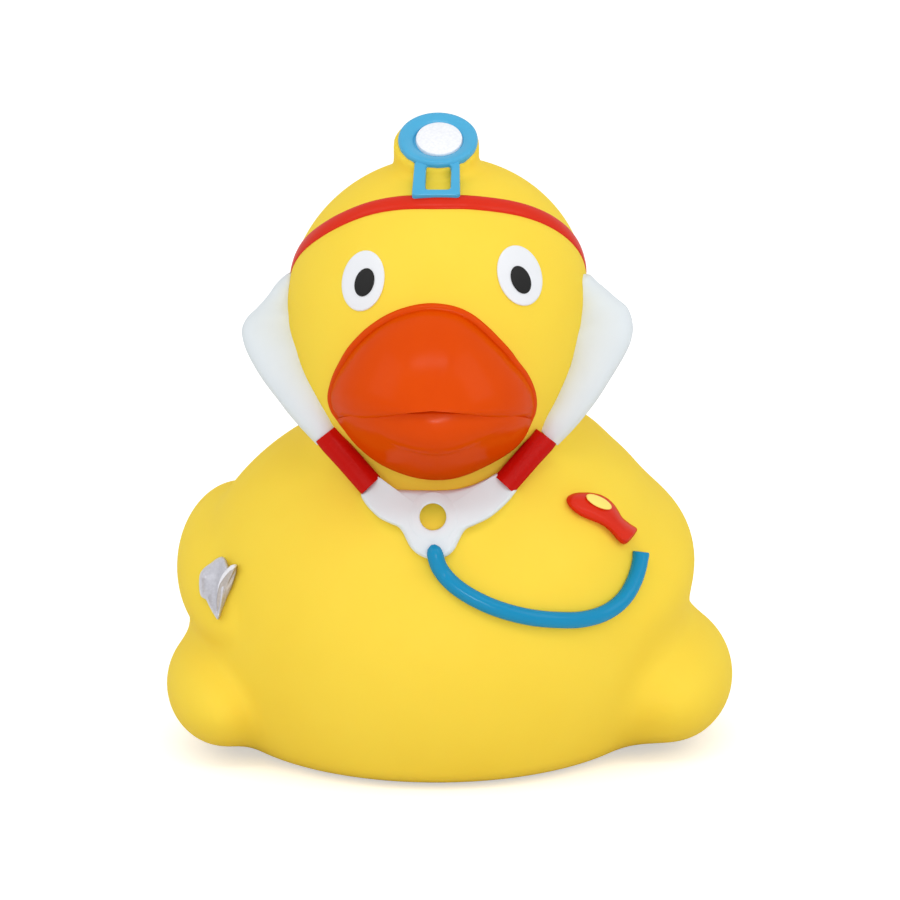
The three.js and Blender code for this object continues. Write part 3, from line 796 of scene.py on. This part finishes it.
# %% Ear tubes
# At each station from the ear down: x and z of the outer edge, x and z of the inner edge, which is sunk in
# the head, how far back the tube lies, and half its depth.
EAR_TUBES = {
    "right": [
        (-18.5, 61.15, -17.9, 61, -4.1, 0.9),
        (-19.05, 60.8, -17.44, 59.71, -4.35, 1.78),
        (-20.06, 59.85, -17.04, 58.26, -5, 1.95),
        (-20.95, 58.63, -16.65, 56.92, -5.8, 2.12),
        (-22.24, 57.22, -16.22, 56.18, -6.8, 2.3),
        (-23.47, 56.1, -15.96, 55.13, -7.65, 2.24),
        (-24.11, 54.76, -15.7, 54.37, -8.6, 2.18),
        (-23.87, 53.16, -16.09, 53.88, -9.6, 2.12),
        (-23.13, 51.53, -16.11, 53.12, -10.6, 2.06),
        (-22.01, 49.75, -15.92, 51.52, -11.65, 2),
        (-20.79, 48.15, -15.2, 49.9, -12.6, 1.92),
        (-19.52, 46.68, -14.44, 48.56, -13.5, 1.84),
        (-18.34, 45.25, -13.75, 47.11, -14.25, 1.76),
        (-16.62, 43.37, -12.84, 45.31, -14.9, 1.68),
        (-14.66, 41.3, -12.19, 43.64, -15.16, 1.6),
    ],
    "left": [
        (18.5, 61.36, 17.5, 61.66, -7.3, 0.8),
        (19.08, 61.28, 16.69, 60.38, -7.4, 1.78),
        (19.93, 60.48, 16.44, 58.55, -7.7, 1.95),
        (20.77, 59.82, 16.2, 56.8, -7.95, 2.12),
        (22.07, 58.7, 15.78, 55.76, -8.35, 2.3),
        (23.63, 57.37, 15.42, 54.82, -8.85, 2.24),
        (24.25, 55.36, 15.08, 54.44, -9.5, 2.18),
        (24.03, 53.59, 15.51, 53.76, -10.05, 2.12),
        (23.39, 52.08, 15.79, 52.74, -10.5, 2.06),
        (22.44, 50.47, 15.73, 51.07, -11, 2),
        (21.24, 48.62, 15.05, 49.3, -11.6, 1.92),
        (20.06, 46.84, 14.53, 47.9, -12.2, 1.84),
        (18.88, 45.3, 13.87, 46.41, -12.65, 1.76),
        (17.03, 43.13, 13.05, 44.92, -13.15, 1.68),
        (14.95, 40.99, 12.47, 43.34, -13.44, 1.6),
    ],
}
tube_angles = np.linspace(0, 2 * math.pi, 40, endpoint=False)
for label, stations in EAR_TUBES.items():
    tube_rings = []
    for outer_x, outer_z, inner_x, inner_z, back, deep in smooth_path(stations, 70):
        outer = np.array([outer_x, back, outer_z])
        inner = np.array([inner_x, back, inner_z])
        across = np.outer(np.cos(tube_angles), (outer - inner) / 2)
        tube_rings.append((outer + inner) / 2 + across + np.outer(np.sin(tube_angles), (0, deep, 0)))
    finish_piece(loft(tube_rings), "ear_tube_" + label, tube_white)

# %% Sleeves
SLEEVES = {
    "right": [
        (-13.55, 39.38), (-12.68, 38.28), (-11.3, 36.81), (-9.81, 35.17), (-8.45, 33.65), (-7.95, 33.11),
    ],
    "left": [(13.45, 39.1), (12.82, 38.28), (11.44, 36.81), (10.07, 35.29), (8.71, 33.77), (8.22, 33.23)],
}
SLEEVE_STEPS = 40
for label, places in SLEEVES.items():
    sleeve_path = on_front(smooth_path(places, SLEEVE_STEPS), 0.9)
    girth = np.full(SLEEVE_STEPS, 1.55)
    girth[[0, -1]] = 1.52
    sleeve_rings = sweep_rings(sleeve_path, girth, 0.75 * girth, camera_back, 36, flat=True)
    finish_piece(loft(sleeve_rings), "sleeve_" + label, sleeve_red)

# %% Connector
CONNECTOR = [
    (-7.34, 34.33), (-8.26, 33.35), (-9.16, 32.08), (-8.72, 31.06), (-7.91, 30.1), (-6.8, 29.15),
    (-5.58, 28.56), (-4.61, 28.15), (-4, 27.44), (-3.58, 26.61), (-3.03, 25.66), (-2.07, 24.83),
    (-0.57, 24.3), (1.05, 24.59), (2.07, 25.36), (2.67, 26.43), (3.15, 27.38), (3.7, 27.97),
    (4.78, 28.45), (6.24, 29.15), (7.39, 29.99), (8.44, 30.94), (9.24, 31.84), (9.81, 32.86),
    (8.83, 34.01), (7.61, 34.65), (6.51, 34.14), (5.35, 33.57), (4.07, 33.06), (2.26, 32.64),
    (0.44, 32.51), (-1.38, 32.51), (-3.68, 32.56), (-4.77, 32.64), (-5.63, 33.12), (-6.48, 33.66),
]
connector_outline = smooth_path(CONNECTOR, 180, closed=True)
hole_middle = np.array([-0.41, 29.38])
hole_way = connector_outline - hole_middle
HOLE_RADIUS = 1.62
hole_edge = hole_middle + HOLE_RADIUS * hole_way / np.linalg.norm(hole_way, axis=1, keepdims=True)
CONNECTOR_RELIEF, CONNECTOR_EDGE = 1.3, 0.75
connector_profile = shoulder(CONNECTOR_RELIEF, CONNECTOR_EDGE)[:8]
connector_profile += [(CONNECTOR_EDGE, s, CONNECTOR_RELIEF + 0.12 * s) for s in (0.2, 0.4, 0.6, 0.8, 0.92)]
connector_profile += [(CONNECTOR_EDGE, s, lift) for s, lift in ((0.98, 1.36), (1, 1.2), (1, -0.4))]
connector_rings = button_rings(connector_outline, connector_profile, hole_edge)
finish_piece(loft(connector_rings, closed=True), "connector", tube_white)
EYE_PROFILE = [
    (3.0, 1.1), (2.95, 1.36), (2.7, 1.43), (2.3, 1.46), (1.9, 1.46), (1.72, 1.42),
    (HOLE_RADIUS, 1.34), (HOLE_RADIUS, 0.6),
]
eye_rings = []
for radius, lift in EYE_PROFILE:
    eye_rings.append(on_front(oval(*hole_middle, 2 * radius, 2 * radius, 0), lift))
finish_piece(loft(eye_rings, closed=True), "connector_eye", tube_white)

# %% Hose
HOSE_PATH = [
    (-0.39, 26.1), (0.09, 23.87), (0.69, 22.81), (1.47, 21.85), (2.43, 21), (3.45, 20.28),
    (4.7, 19.56), (6.08, 18.89), (7.4, 18.37), (9.57, 17.69), (11.75, 17.22), (13.95, 16.96),
    (16.16, 16.84), (17.4, 16.85), (18.78, 17.04), (19.91, 17.33), (21.05, 17.8), (22.07, 18.44),
    (23.02, 19.3), (23.72, 20.26), (24.37, 21.46), (24.87, 22.78), (25.13, 23.87), (25.26, 24.84),
]
HOSE_STEPS = 130
HOSE_RADIUS = 0.99
hose_places = smooth_path(HOSE_PATH, HOSE_STEPS)
for _ in range(12):
    hose_places[1:-1] = (hose_places[:-2] + 2 * hose_places[1:-1] + hose_places[2:]) / 4
hose_lift = 0.5 + 1.45 * np.clip(1 - np.arange(HOSE_STEPS) / 14, 0, 1) ** 1.5
hose_path = on_front(hose_places, hose_lift)
hose_girth = np.full(HOSE_STEPS, HOSE_RADIUS)
hose_girth[:4] = [0.25, 0.75, 0.92, 0.98]
hose_girth[-6:] = [1.0, 1.02, 1.04, 1.05, 1.05, 0.98]
hose_rings = sweep_rings(hose_path, hose_girth, hose_girth, camera_back, 28, flat=True)
finish_piece(loft(hose_rings), "hose", hose_blue)

# %% Chest piece
CHEST_PIECE = [
    (15.92, 31.42), (16.24, 31.84), (17.01, 32.14), (18.03, 32.21), (19.18, 32.14), (20.33, 31.86),
    (21.34, 31.29), (22.02, 30.61), (22.5, 29.88), (22.98, 29.08), (23.91, 28.33), (24.85, 27.68),
    (24.63, 27.1), (23.77, 26.15), (23.05, 25.8), (22.3, 26.3), (21.57, 27.16), (20.76, 27.9),
    (19.88, 28.42), (18.68, 28.89), (17.56, 29.41), (16.57, 30.14), (16.03, 30.82),
]
chest_outline = smooth_path(CHEST_PIECE, 138, closed=True)
CHEST_MIDDLE = [(17.4, 31), (18.6, 30.7), (19.9, 30.2), (21.1, 29.3), (22.1, 28.3), (23, 27.4), (23.8, 26.9)]
chest_spine = smooth_path(CHEST_MIDDLE, 60)
spine_gap = np.linalg.norm(chest_outline[:, None] - chest_spine[None], axis=2)
nearest = chest_spine[spine_gap.argmin(axis=1)]
chest_inner = nearest + (chest_outline - nearest) * 0.2
chest_rings = button_rings(chest_outline, dome(1.25), chest_inner)
finish_piece(loft(chest_rings), "chest_piece", band_red)
spot_rings = button_rings(oval(19.92, 31.06, 3.5, 1.3, -26), shoulder(1.55, 0.25, 0.1, floor=0.2))
finish_piece(loft(spot_rings), "chest_piece_spot", spot_yellow_and_highlight)

# %% Instrument
# A silver instrument: a round shell behind that runs down to a point, and a facet in front of it that stands
# up to a ridge on its left. The facet is painted darker as shade, and the ridge is a thin bead that carries a
# painted highlight.
SHELL_BACK = [
    (-26.03, 23.4), (-26.35, 23.94), (-26.85, 24.11), (-27.53, 23.83), (-28.06, 23.41), (-28.97, 22.76),
    (-29.53, 22.03), (-29.62, 21.02), (-29.49, 19.87), (-29.21, 19.2), (-28.6, 18.85), (-28.15, 18.1),
    (-27.55, 17.15), (-26.97, 16.5), (-26.6, 17.6), (-26.3, 19.2), (-26.05, 20.7), (-25.6, 22.2),
]
FACET = [
    (-24.71, 23.24), (-24.74, 22.75), (-24.83, 22.09), (-25.36, 20.5), (-25.9, 19.24), (-26.45, 17.83),
    (-26.94, 16.48), (-27.12, 17.4), (-27.18, 18.6), (-27.1, 19.8), (-26.85, 20.8), (-26.4, 21.55),
    (-25.8, 22.3), (-25.2, 22.95),
]
FACET_SLOPE = [0.8, 0.45, 0.35, 0.35, 0.35, 0.4, 0.5, 0.75, 0.85, 0.92, 1, 1, 1, 0.95]
back_rings = button_rings(smooth_path(SHELL_BACK, 144, closed=True), shoulder(1.15, 0.5, -0.7))
finish_piece(loft(back_rings), "instrument_back", instrument_silver)
facet_outline = smooth_path(FACET, 112, closed=True)
facet_slope = smooth_path(np.array(FACET_SLOPE)[:, None], 112, closed=True)[:, 0]
facet_rings = button_rings(facet_outline, shoulder(1.35, 0.3), slope=facet_slope)
# The facet takes the darker copy of the silver: painted shade.
finish_piece(loft(facet_rings), "instrument_front", instrument_painted_shade)
RIDGE = [(-24.8, 23.2), (-25.3, 22.8), (-25.9, 22.2), (-26.45, 21.5), (-26.85, 20.7), (-27.05, 19.9)]
RIDGE_STEPS = 40
ridge_path = on_front(smooth_path(RIDGE, RIDGE_STEPS), np.linspace(1.1, 1.0, RIDGE_STEPS))
ridge_girth = np.interp(np.arange(RIDGE_STEPS), [0, 6, 20, 39], [0.15, 0.36, 0.36, 0.05])
ridge_rings = sweep_rings(ridge_path, ridge_girth, ridge_girth, skin_normal(ridge_path), 20)
# The ridge takes the lighter copy of the silver: a painted highlight.
finish_piece(loft(ridge_rings), "instrument_ridge", instrument_painted_highlight)

# %% [markdown]
# ## Floor and light
#
# The photograph is a studio shot on white. The floor is a pale, wide sheet that keeps a soft shadow, and for
# the camera it glows a little, so that it reads as white. Soft lamps stand above, at both sides and low in
# front.

# %% Floor
floor_bm = bmesh.new()
bmesh.ops.create_grid(floor_bm, x_segments=1, y_segments=1, size=6)
floor_mesh = bpy.data.meshes.new("floor")
floor_bm.to_mesh(floor_mesh)
floor_bm.free()
floor = bpy.data.objects.new("floor", floor_mesh)
floor.location.z = -0.00005
scene.collection.objects.link(floor)
paper, tree = new_material("white_paper")
rays = add_node(tree, "ShaderNodeLightPath")
seen = add_node(
    tree, "ShaderNodeMath", {0: (rays, "Is Camera Ray"), 1: (rays, "Is Glossy Ray")}, operation="ADD"
)
seen = add_node(
    tree, "ShaderNodeMath", {0: (seen, 0), 1: (rays, "Is Transmission Ray")}, operation="ADD", use_clamp=True
)
glow_level = add_node(tree, "ShaderNodeMath", {0: (seen, 0)}, {1: 0.5}, operation="MULTIPLY")
glow = add_node(tree, "ShaderNodeEmission", {"Strength": (glow_level, 0)})
sheet = add_node(tree, "ShaderNodeBsdfDiffuse", None, {"Color": (0.8, 0.8, 0.8, 1.0)})
both = add_node(tree, "ShaderNodeAddShader", {0: (sheet, 0), 1: (glow, 0)})
add_node(tree, "ShaderNodeOutputMaterial", {"Surface": (both, 0)})
floor_mesh.materials.append(paper)

# %% Lamps and world
world = bpy.data.worlds.new("studio")
scene.world = world
world.use_nodes = True
tree = world.node_tree
tree.nodes.clear()
rays = add_node(tree, "ShaderNodeLightPath")
seen = add_node(
    tree, "ShaderNodeMath", {0: (rays, "Is Camera Ray"), 1: (rays, "Is Glossy Ray")}, operation="MAXIMUM"
)
seen = add_node(
    tree, "ShaderNodeMath", {0: (seen, 0), 1: (rays, "Is Transmission Ray")}, operation="MAXIMUM"
)
level = add_node(tree, "ShaderNodeMapRange", {"Value": (seen, 0)}, {"To Min": 0.77, "To Max": 1.0})
sky = add_node(tree, "ShaderNodeBackground", {"Strength": (level, "Result")}, {"Color": (1, 1, 1, 1)})
add_node(tree, "ShaderNodeOutputWorld", {"Surface": (sky, 0)})


def soft_lamp(name, place, aim, size, power):
    lamp = bpy.data.lights.new(name, "AREA")
    lamp.shape = "RECTANGLE"
    lamp.size, lamp.size_y = size
    lamp.energy = power
    lamp_object = bpy.data.objects.new(name, lamp)
    lamp_object.location = place
    lamp_object.rotation_euler = (Vector(aim) - Vector(place)).to_track_quat("-Z", "Y").to_euler()
    scene.collection.objects.link(lamp_object)


soft_lamp("lamp_top", (0, -0.42, 0.65), (0, 0, 0.04), (0.5, 0.1), 0.74)
soft_lamp("lamp_left", (-0.65, -0.35, 0.55), (0, 0, 0.03), (0.5, 0.5), 0.76)
soft_lamp("lamp_right", (0.65, -0.35, 0.55), (0, 0, 0.03), (0.5, 0.5), 0.95)
soft_lamp("lamp_low", (0.08, -0.8, 0.1), (0, 0, 0.03), (0.3, 0.05), 1.1)
scene.view_settings.view_transform = "Standard"
